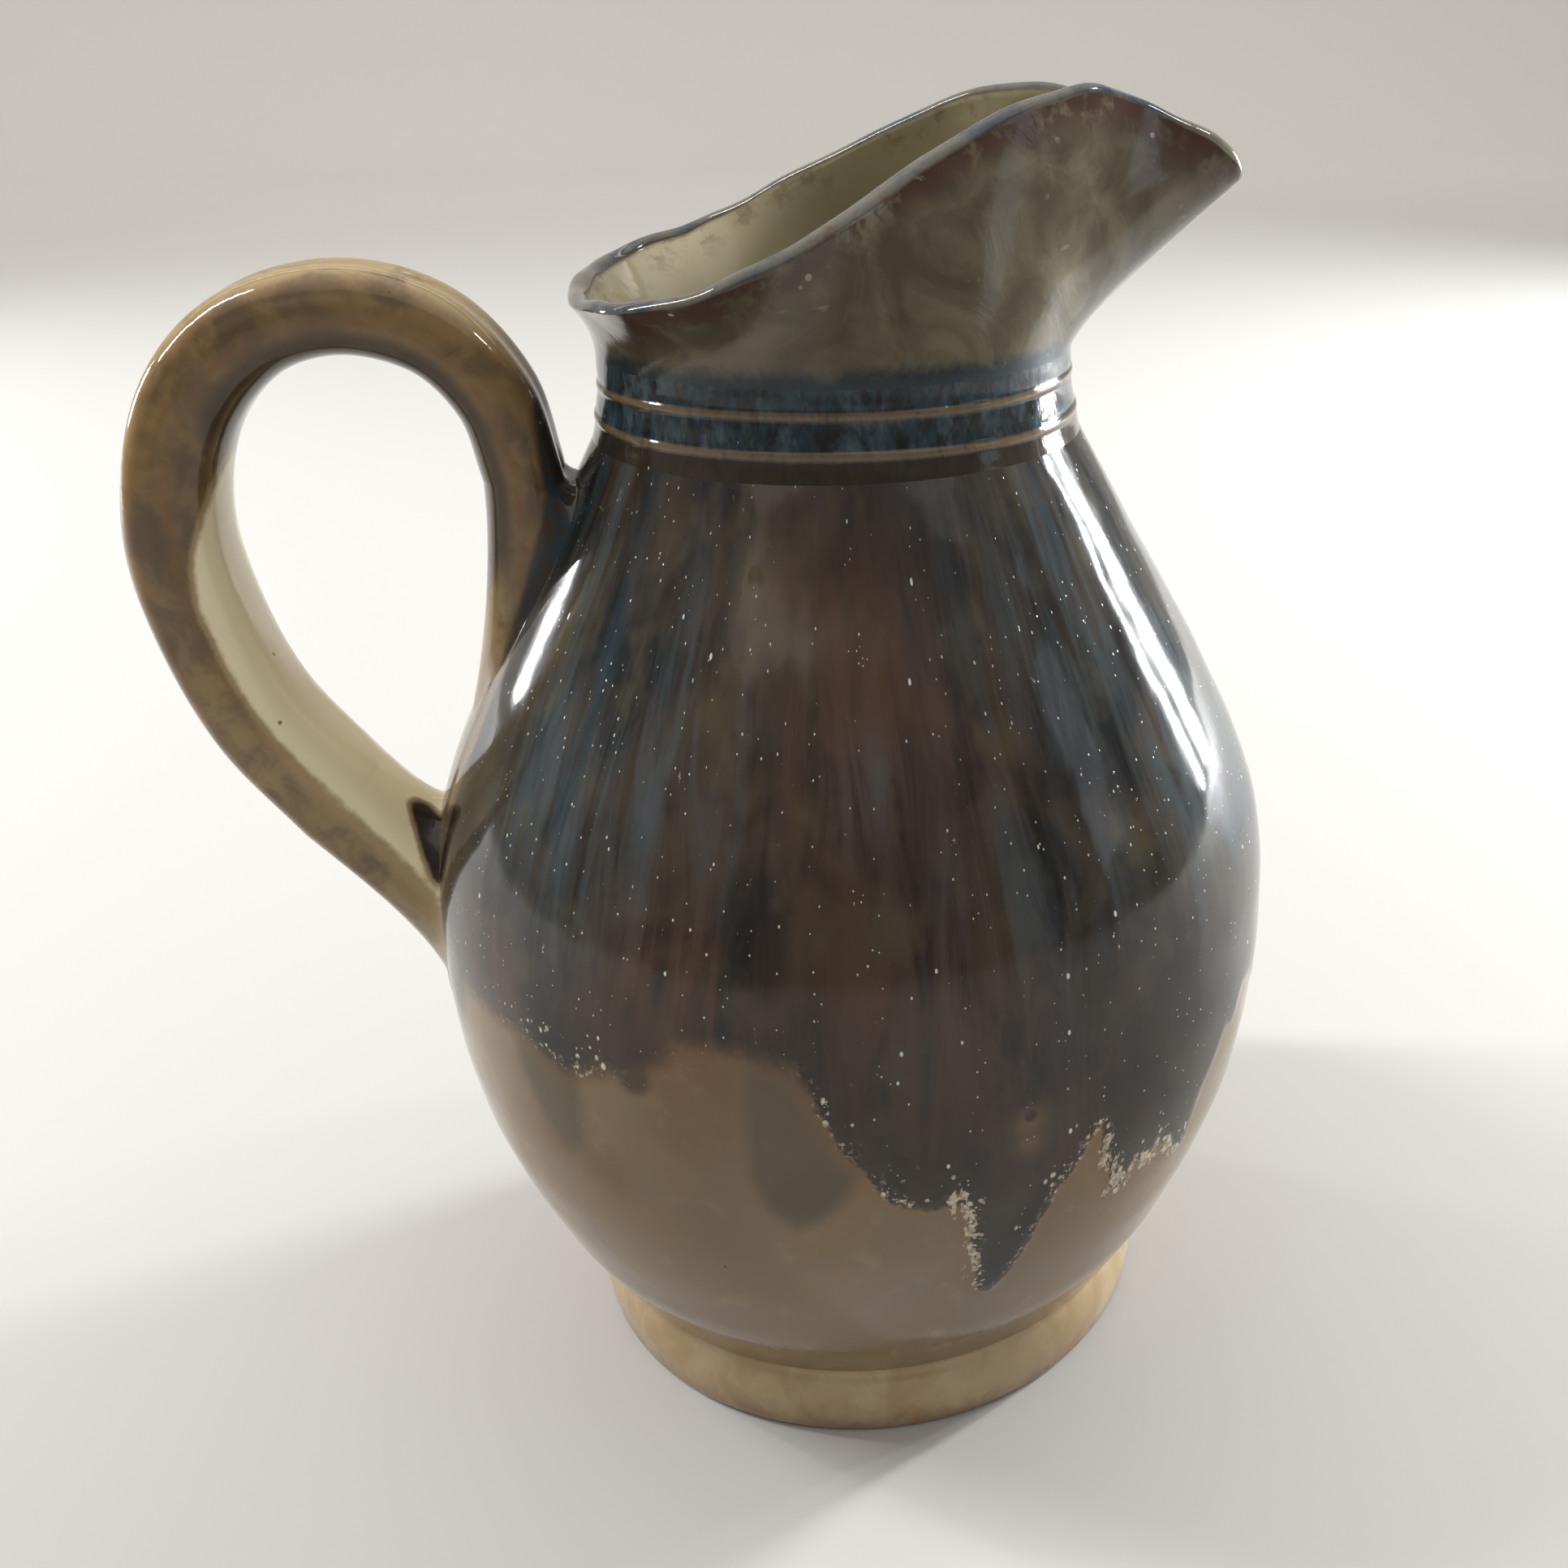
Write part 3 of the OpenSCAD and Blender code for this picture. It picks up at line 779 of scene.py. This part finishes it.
def make_body():
    outside = even(belly_line, 0.8)
    skin = sideways(outside, WALL)
    keep = (skin[:, 1] > FLOOR_Z + 9) & (skin[:, 1] < SHOULDER_Z - 5)
    inside = np.vstack([[[NECK_IN + 0.6, SHOULDER_Z], [NECK_IN + 1.2, SHOULDER_Z - 2.4]],
                        skin[keep][::-1][::3],
                        curve([[45.5, FLOOR_Z + 6], [36, FLOOR_Z + 2.4], [22, FLOOR_Z + 0.5],
                               [8, FLOOR_Z]], 5)])
    under = even([[6, RECESS], [FOOT_IN, RECESS], [FOOT_IN, FOOT_H], [CREASE_R - 0.4, FOOT_H]], 3)
    profile = np.vstack([under, outside, inside])
    first, last = len(under), len(under) + len(outside)
    rings = turned(profile, SIDES, lambda turn, z, radius: wall_wobble(turn, z))
    rings[:first] = turned(profile[:first], SIDES)
    fields = glaze_fields(rings)
    level = np.arange(len(profile))[:, None]
    fields["inside"] = (level >= last).astype(float)
    fields["bare"] = (level < first).astype(float)
    # the dark glaze stands a little proud of the buff, and the pits dip into it
    lift = 0.22 * smoothstep(fields["cover"], -0.8, 1.2) * smoothstep(fields["soft"], 2.2, 0.4)
    lift = lift - 0.3 * fields["pit"]
    lift[:first] = 0
    lift[last:] = 0
    lift[first:last] *= 1 - smoothstep(rings[first:last, :, 2], SHOULDER_Z - 8, SHOULDER_Z)
    direction = rings * [1, 1, 0]
    direction /= np.linalg.norm(direction, axis=-1)[..., None]
    rings = rings + direction * lift[..., None]
    return mesh_piece("body_fine", rings, False, fields, body_material())


def make_collar():
    heights = np.linspace(SHOULDER_Z, NECK_TOP_Z, 61)
    side = NECK_R + (NECK_LOW_R - NECK_R) * ((NECK_TOP_Z - heights) / (NECK_TOP_Z - SHOULDER_Z)) ** 2
    inner = np.linspace(NECK_TOP_Z, SHOULDER_Z, 9)
    bore = NECK_IN + 0.6 * (NECK_TOP_Z - inner) / (NECK_TOP_Z - SHOULDER_Z)
    profile = np.vstack([np.stack([side, heights], 1), np.stack([bore, inner], 1)])

    def line_nearness(turn, z):
        close = 0 * z
        for number, height in enumerate(LINE_Z):
            sway = 0.34 * np.sin(turn + 2.1 * number) + 0.20 * np.sin(3 * turn + 0.7 + number)
            close = close + np.exp(-(((z - height - sway) / LINE_HALF) ** 4))
        return close

    def proud(turn, z, radius):
        uneven = 0.05 * np.sin(5 * turn + z) + 0.04 * np.sin(11 * turn - 0.6 * z)
        outside = radius > NECK_IN + 2
        fade = smoothstep(z, SHOULDER_Z, SHOULDER_Z + 2) * (1 - smoothstep(z, NECK_TOP_Z - 2, NECK_TOP_Z))
        return np.where(outside, LINE_PROUD * line_nearness(turn, z) + fade * uneven, 0)

    rings = turned(profile, SIDES, proud)
    turn = np.arctan2(rings[..., 1], rings[..., 0])
    outer = np.arange(len(profile))[:, None] < len(heights)
    fields = {"line": np.where(outer, line_nearness(turn, rings[..., 2]), 0),
              "inside": np.where(outer, 0.0, 1.0)}
    return mesh_piece("neck_collar_fine", rings, True, fields, collar_material())


def make_mouth():
    steps, rise_steps, lip_steps = 14, 44, 10
    mirrored = [1, -1, 1]
    half = curve(RIM_POINTS, steps, np.array(RIM_POINTS[1]) * mirrored,
                 np.array(RIM_POINTS[-2]) * mirrored)
    rim = np.vstack([half, half[-2:0:-1] * mirrored])
    count = len(rim)
    walked = np.minimum(np.arange(count), count - np.arange(count)) / (count / 2)
    turn = np.radians(180 * (0.78 * walked + 0.22 * walked**2))
    turn[count // 2 + 1:] *= -1

    # the thrown rim is never quite level
    way = np.arange(count) * 2 * math.pi / count
    rim[:, 2] += 0.28 * np.sin(5 * way + 1) + 0.16 * np.sin(11 * way) + 0.10 * np.sin(23 * way + 2)
    lip = LIP_T * (1 + 0.06 * np.sin(7 * way + 0.5) + 0.04 * np.sin(17 * way))
    along = np.roll(rim, -1, axis=0) - np.roll(rim, 1, axis=0)
    along = along[:, :2] / np.linalg.norm(along[:, :2], axis=1)[:, None]
    inward = np.stack([-along[:, 1], along[:, 0], 0 * turn], 1)
    tip = np.exp(-(((SPOUT_REACH - rim[:, 0]) / 7) ** 2))
    lip = lip * (1 + 0.25 * tip)
    inner_rim = rim + inward * lip[:, None]
    drop = np.stack([0 * tip, 0 * tip, LIP_H * (1 + 1.1 * tip)], 1)

    def wall(radius, edge, w):
        start = np.stack([radius * np.cos(turn), radius * np.sin(turn), NECK_TOP_Z + 0 * turn], 1)
        eased = w * w * 1.035 / (w + 0.035)
        flare = (eased ** (1 + 0.9 * np.abs(turn) / math.pi))[:, None]
        flat = start[:, :2] + (edge[:, :2] - start[:, :2]) * flare
        height = start[:, 2:] + (edge[:, 2:] - start[:, 2:]) * w
        return np.hstack([flat, height])

    rises = np.linspace(0, 1, rise_steps + 1)
    outer = [wall(NECK_R, rim - drop, w) for w in rises]
    lips = []
    for bend in np.linspace(0, math.pi, lip_steps + 2)[1:-1]:
        share = (1 - math.cos(bend)) / 2
        lips.append(rim + inward * (lip * share)[:, None] + drop * (math.sin(bend) - 1))
    inner = [wall(NECK_IN, inner_rim - drop, w) for w in rises[::-1]]
    rings = np.array(outer + lips + inner)
    level = np.arange(len(rings))[:, None] + 0 * turn
    last_outer, first_inner = rise_steps, rise_steps + lip_steps + 1
    down = np.where(level <= last_outer, rim[:, 2] - LIP_H - rings[..., 2], 99)
    from_crest = np.abs(level - (last_outer + lip_steps / 2))
    lip_field = 1 - smoothstep(from_crest, lip_steps / 2 - 1, lip_steps / 2 + 1)
    # painted shade: the outside of the wall under the spout is marked for darkening
    painted_spout_shade = np.where(level <= last_outer, 1 - smoothstep(np.abs(turn), 0.10, 0.75), 0)
    painted_spout_shade = painted_spout_shade * (1 - smoothstep(rings[..., 2], 181, 198))
    inner_down = np.where(level >= first_inner, rim[:, 2] - LIP_H - rings[..., 2], 99)
    fields = {"near_rim": 1 - smoothstep(down, 0.5, 7), "lip": lip_field, "tip": tip[None, :],
              "inner_rim": 1 - smoothstep(inner_down, 1, 6),
              "inside": (level >= first_inner).astype(float), "painted_spout_shade": painted_spout_shade}
    return mesh_piece("mouth_spout_fine", rings, True, fields, mouth_material(), 60)


SECTION = 96
section_turn = np.arange(SECTION) * 2 * math.pi / SECTION
section_out = np.cos(section_turn)       # 1 on the outer face, -1 towards the finger gap
section_side = np.sin(section_turn)


def section(width, thickness, groove, flutes=0.30):
    """[outwards, sideways] offsets of a rounded oblong, grooved outside and fluted at the sides."""
    c, s = section_out, section_side
    size = (np.abs(c) ** 2.7 + np.abs(s) ** 2.7) ** (-1 / 2.7)
    dip = groove * np.exp(-((s / 0.33) ** 2)) * (c > 0)
    flute = flutes * (np.exp(-(((c - 0.42) / 0.17) ** 2)) + np.exp(-(((c + 0.40) / 0.17) ** 2)))
    return np.stack([thickness / 2 * c * size - dip,
                     (width / 2 * np.abs(s) * size - flute) * np.sign(s)], 1)


def placed(middle, outward, offsets):
    x = middle[0] + outward[0] * offsets[:, 0]
    z = middle[1] + outward[1] * offsets[:, 0]
    return np.stack([x, offsets[:, 1], z], 1)


def handle_rings():
    line = curve(GRIP_POINTS, 18)
    heading = np.gradient(line, axis=0)
    heading /= np.linalg.norm(heading, axis=1)[:, None]
    heading[0] = [0, 1]
    heading[-1] = GRIP_END_HEADING / np.linalg.norm(GRIP_END_HEADING)
    way = np.linspace(0, 1, len(line))
    rings = []
    for middle, ahead, share in zip(line, heading, way):
        worked = math.sin(math.pi * share)
        width = GRIP_W * (1 + 0.012 * worked * math.sin(19 * share))
        thickness = GRIP_T + GRIP_GROW * share**1.6 + 0.18 * worked * math.sin(27 * share + 1)
        rings.append(placed(middle, (ahead[1], -ahead[0]), section(width, thickness, GROOVE)))
    return np.array(rings), way, heading


def handle_fields(rings, way):
    """Colour zones of the handle; way runs from 0 at the neck to 1 at the belly."""
    out = section_out[None, :] + 0 * rings[..., 0]
    x, z = rings[..., 0], rings[..., 2]
    lower = smoothstep(way, 0.52, 0.62)
    inner_edge = 0.80 - 0.75 * smoothstep(way, 0.53, 0.76)
    cream = smoothstep(-out - inner_edge, 0, 0.45) * lower
    cream = np.maximum(cream, 0.62 * smoothstep(-out, -0.45, 0.5) * smoothstep(way, 0.78, 0.98))
    top = smoothstep(way, 0.08, 0.22) * (1 - smoothstep(way, 0.55, 0.75))
    ochre = smoothstep(out, 0.45, 0.85) * top
    ochre = np.maximum(ochre, 0.6 * smoothstep(way, 0.72, 0.95) * (1 - smoothstep(np.abs(out), 0.6, 0.9)))
    ridge = 0.8 * np.exp(-(((out + 0.12) / 0.10) ** 2)) + 0.5 * np.exp(-(((out - 0.62) / 0.12) ** 2))
    # painted shade: the finger-gap face of the upper limb and the underside near the belly are darkened
    shadow = smoothstep(-out, -0.1, 0.7) * (1 - lower)
    shadow = np.maximum(shadow, 0.6 * smoothstep(out, 0.3, 0.9) * smoothstep(way, 0.78, 1.0))
    neck_line = np.interp(z, [120, 136, 141, 147, 151, 170], [-56, -49.2, -47.4, -45.1, -44.2, -44.6])
    neck_side = smoothstep(x - neck_line, -2.2, 2.4) * (1 - 0.6 * smoothstep(z, 160, 176))
    return {"cream": cream, "ochre": ochre, "ridge": ridge, "shadow": shadow, "dark": neck_side}


def make_handle(material):
    rings, way, _ = handle_rings()
    return mesh_piece("handle_fine", rings, False, handle_fields(rings, way[:, None]), material, 50)


def root_rings(start, ahead, across, height, reach):
    """Rings that leave a handle end along ahead and land on the body, tangent to it."""
    end = on_belly(across, height, ROOT_SUNK)
    round_way = np.stack([np.roll(across, -1) - np.roll(across, 1),
                          np.roll(height, -1) - np.roll(height, 1)], 1)
    round_way /= np.linalg.norm(round_way, axis=1)[:, None]
    away = np.stack([round_way[:, 1], -round_way[:, 0]], 1)
    centre = np.array([across.mean(), height.mean()])
    away *= np.sign(((np.stack([across, height], 1) - centre) * away).sum(1))[:, None]
    nudge = 0.5
    landing = on_belly(across + nudge * away[:, 0], height + nudge * away[:, 1], ROOT_SUNK) - end
    landing /= np.linalg.norm(landing, axis=1)[:, None]
    span = np.linalg.norm(end - start, axis=1)[:, None]
    leave = np.array([ahead[0], 0, ahead[1]]) * span * reach[0]
    arrive = landing * span * reach[1]
    rings = []
    for t in np.linspace(0, 1, 45):
        rings.append((2 * t**3 - 3 * t**2 + 1) * start + (t**3 - 2 * t**2 + t) * leave
                     + (3 * t**2 - 2 * t**3) * end + (t**3 - t**2) * arrive)
    return np.array(rings)


def make_upper_root(material):
    rings, _, heading = handle_rings()
    inner_share = (1 - section_out) / 2
    half_width, top, drop = UPPER_ROOT
    across = half_width * np.sign(section_side) * np.abs(section_side) ** 0.85
    height = top - drop * inner_share**1.45
    made = root_rings(rings[0], -heading[0], across, height, (0.95, 0.75))[::-1]
    share = np.linspace(1, 0, len(made))[:, None]
    fields = handle_fields(made, -0.1 * share)
    tail = smoothstep(-section_out, 0.15, 0.7)[None, :] * smoothstep(share, 0.15, 0.6)
    fields["cream"] = 0.42 * tail
    fields["ochre"] = tail
    fields["shadow"] = fields["shadow"] * (1 - tail)
    edge = smoothstep(share, 0.80, 1.0) * (1 - smoothstep(-section_out, 0.0, 0.5))
    fields["dark"] = np.maximum(fields["dark"], edge)
    return mesh_piece("handle_upper_joint_fine", made, False, fields, material, 50)


def make_lower_root(material):
    rings, _, heading = handle_rings()
    half_width, middle, half_height = LOWER_ROOT
    across = half_width * section_side
    height = middle - half_height * section_out
    made = root_rings(rings[-1], heading[-1], across, height, (0.9, 0.8))
    share = np.linspace(0, 1, len(made))[:, None]
    fields = handle_fields(made, 1 + 0.1 * share)
    # a painted shadow on the inner face at the crease, standing in for the shade and dark reflection of
    # the body, the same on both sides
    top, bottom = np.array([-67.9, 5.4, 102]), np.array([-66.0, 10.8, 93])
    mirrored = made * np.where(made[..., 1:2] < 0, [1, -1, 1], [1, 1, 1])
    along = np.clip(((mirrored - top) @ (bottom - top)) / ((bottom - top) @ (bottom - top)), 0, 1)
    away = np.linalg.norm(mirrored - top - along[..., None] * (bottom - top), axis=-1)
    fields["dark"] = np.zeros(away.shape)
    fields["shadow"] = np.maximum(0.5 * fields["shadow"], 1.7 * (1 - smoothstep(away, 1.2, 3.8)))
    fields["cream"] = fields["cream"] * smoothstep(away, 1.2, 4.0)
    return mesh_piece("handle_lower_joint_fine", made, False, fields, material, 50)


handle_glaze = handle_material()
pieces = [
    (make_foot(), "foot_ring", "foot_stoneware"),
    (make_body(), "body", "body_glaze"),
    (make_collar(), "neck_collar", "collar_glaze"),
    (make_mouth(), "mouth_spout", "mouth_glaze"),
    (make_handle(handle_glaze), "handle", "handle_glaze"),
    (make_upper_root(handle_glaze), "handle_upper_joint", "handle_glaze"),
    (make_lower_root(handle_glaze), "handle_lower_joint", "handle_glaze"),
]
for piece, node, slot in pieces:
    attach(piece, "root")
    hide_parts(node)

# ---------------------------------------------------------------- floor, light and camera

FLOOR_COLOUR = (0.465, 0.45, 0.425)
SKY_LOW = (0.36, 0.35, 0.33)             # brightness of the room near the floor
SKY_MIDDLE = (0.200, 0.205, 0.215)       # of its walls
SKY_HIGH = (0.90, 0.88, 0.85)            # and of the ceiling
SKY_STRENGTH = 0.70
LAMP = (1.0, 0.975, 0.94)
WINDOW = (0.92, 0.96, 1.0)
HIGH_WINDOW = (0.97, 0.98, 1.0)
FLOOR_HALF = 4000 * MM
SWEEP_START = 2800 * MM                  # where the floor begins to curve up into a backdrop
SWEEP_R = 1000 * MM


def make_floor():
    """A pale studio sweep: floor, curve and upright backdrop in one sheet."""
    bend = np.linspace(0, math.pi / 2, 33)
    line = [[-FLOOR_HALF, 0]]
    line += [[SWEEP_START + SWEEP_R * math.sin(b), SWEEP_R * (1 - math.cos(b))] for b in bend]
    line += [[SWEEP_START + SWEEP_R, FLOOR_HALF]]
    points = [(x, y, z) for y, z in line for x in (-FLOOR_HALF, FLOOR_HALF)]
    faces = [(k, k + 1, k + 3, k + 2) for k in range(0, len(points) - 2, 2)]
    mesh = bpy.data.meshes.new("floor")
    mesh.from_pydata(points, [], faces)
    mesh.shade_smooth()
    g = Glaze("floor_paint")
    g.shader.inputs["Base Color"].default_value = (*FLOOR_COLOUR, 1)
    g.shader.inputs["Roughness"].default_value = 0.8
    mesh.materials.append(g.material)
    floor = bpy.data.objects.new("floor", mesh)
    bpy.context.scene.collection.objects.link(floor)


def softbox(name, azimuth, elevation, distance, width, height, power, colour, target=(0, 0, 0.1)):
    """A rectangular light facing its target. Azimuth is from +Y towards +X; sizes in metres."""
    target = Vector(target)
    a, e = math.radians(azimuth), math.radians(elevation)
    back = Vector((math.sin(a) * math.cos(e), math.cos(a) * math.cos(e), math.sin(e)))
    lamp = bpy.data.lights.new(name, "AREA")
    lamp.shape = "RECTANGLE"
    lamp.size = width
    lamp.size_y = height
    lamp.energy = power
    lamp.color = colour
    held = bpy.data.objects.new(name, lamp)
    held.location = target + back * distance
    held.rotation_mode = "QUATERNION"
    held.rotation_quaternion = back.to_track_quat("Z", "Y")
    bpy.context.scene.collection.objects.link(held)


def make_lights():
    world = bpy.data.worlds.new("studio")
    world.use_nodes = True
    nodes, links = world.node_tree.nodes, world.node_tree.links
    direction = nodes.new("ShaderNodeTexCoord")
    split = nodes.new("ShaderNodeSeparateXYZ")
    links.new(direction.outputs["Generated"], split.inputs[0])
    sky = nodes.new("ShaderNodeValToRGB")
    sky.color_ramp.interpolation = "EASE"
    ramp = sky.color_ramp.elements
    ramp[0].color = (*SKY_LOW, 1)
    ramp[1].color = (*SKY_HIGH, 1)
    ramp.new(0.28).color = (*SKY_MIDDLE, 1)
    links.new(split.outputs["Z"], sky.inputs["Fac"])
    links.new(sky.outputs["Color"], nodes["Background"].inputs["Color"])
    nodes["Background"].inputs["Strength"].default_value = SKY_STRENGTH
    bpy.context.scene.world = world
    softbox("overhead", 0, 90, 3.2, 7.0, 7.0, 102, LAMP)
    softbox("backdrop_light", 180, 70, 1.8, 7.0, 0.8, 40, LAMP, (0, 3.3, 0.1))
    softbox("right_window", 67, 9, 1.5, 0.10, 0.62, 42, WINDOW)
    softbox("right_window_edge", 75, 9, 1.5, 0.03, 0.60, 8, WINDOW)
    softbox("right_wall", 115, 17, 1.6, 0.26, 0.52, 0.5, (0.78, 0.88, 1.0))
    softbox("left_window", -50, 8, 1.5, 0.05, 0.26, 9, (0.95, 0.97, 1.0))
    softbox("left_high_window", -72, 40, 1.5, 0.10, 0.95, 19, HIGH_WINDOW)
    softbox("right_high_window", 82, 40, 1.5, 0.12, 0.16, 3, HIGH_WINDOW)


CAMERA_PLACE = Vector((-28.97, -237.07, 209.5)) * MM
CAMERA_AZIMUTH = 11.841                  # degrees from +Y towards +X
CAMERA_PITCH = 25.459                    # degrees below the horizon
CAMERA_ROLL = -0.2
CAMERA_LENS = 35.786
CAMERA_SENSOR = 36
CAMERA_SHIFT_X = -0.1207


def make_camera():
    camera = bpy.data.cameras.new("camera")
    camera.sensor_width = CAMERA_SENSOR
    camera.lens = CAMERA_LENS
    camera.shift_x = CAMERA_SHIFT_X
    camera.clip_start = 0.01
    camera.clip_end = 50
    held = bpy.data.objects.new("camera", camera)
    held.matrix_world = (Matrix.Translation(CAMERA_PLACE)
                         @ Matrix.Rotation(math.radians(-CAMERA_AZIMUTH), 4, "Z")
                         @ Matrix.Rotation(math.radians(90 - CAMERA_PITCH), 4, "X")
                         @ Matrix.Rotation(math.radians(CAMERA_ROLL), 4, "Z"))
    bpy.context.scene.collection.objects.link(held)
    bpy.context.scene.camera = held


make_floor()
make_lights()
make_camera()
bpy.context.scene.view_settings.view_transform = "Standard"
